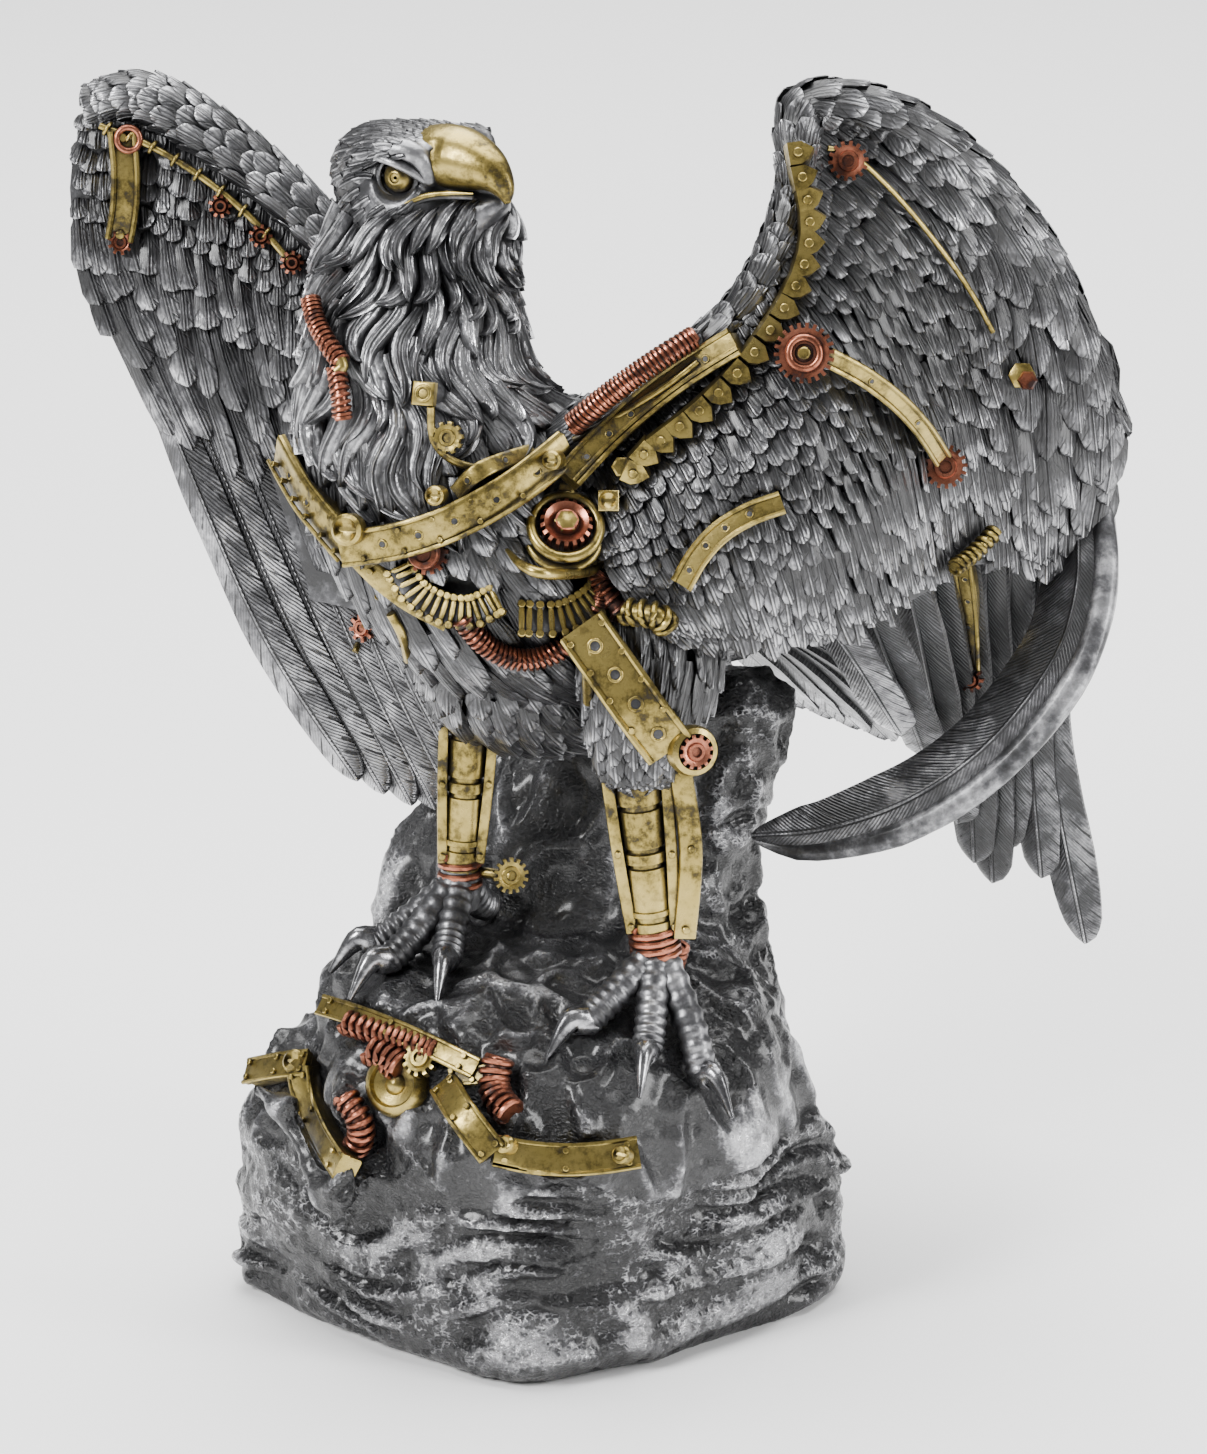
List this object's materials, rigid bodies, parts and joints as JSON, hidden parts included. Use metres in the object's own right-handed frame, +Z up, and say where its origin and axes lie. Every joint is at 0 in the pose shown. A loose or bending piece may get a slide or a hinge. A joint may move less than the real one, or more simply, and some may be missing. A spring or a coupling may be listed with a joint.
{
  "type": "eagle figurine",
  "caption": "Decorative eagle with raised wings and clockwork fittings, standing on a rugged rock base; an ornament that rests on its flat underside.",
  "frame": {"origin": "middle of the rock's flat underside, on the table", "axes": "+Z up, the front of the figurine towards -Y, +X to the viewer's right"},
  "size_m": [0.2512, 0.1526, 0.2974],
  "materials": {
    "antique_silver": "cast resin painted antique silver, black wash in the hollows, burnished highlights, with gold and copper paint on the clockwork",
    "dark_pewter_rock": "cast resin painted dark pewter, heavily black-washed and dry-brushed silver, with gold and copper paint on the inset works"
  },
  "bodies": {
    "root": {"eagle": "antique_silver", "rock_base": "dark_pewter_rock"}
  },
  "joints": []
}
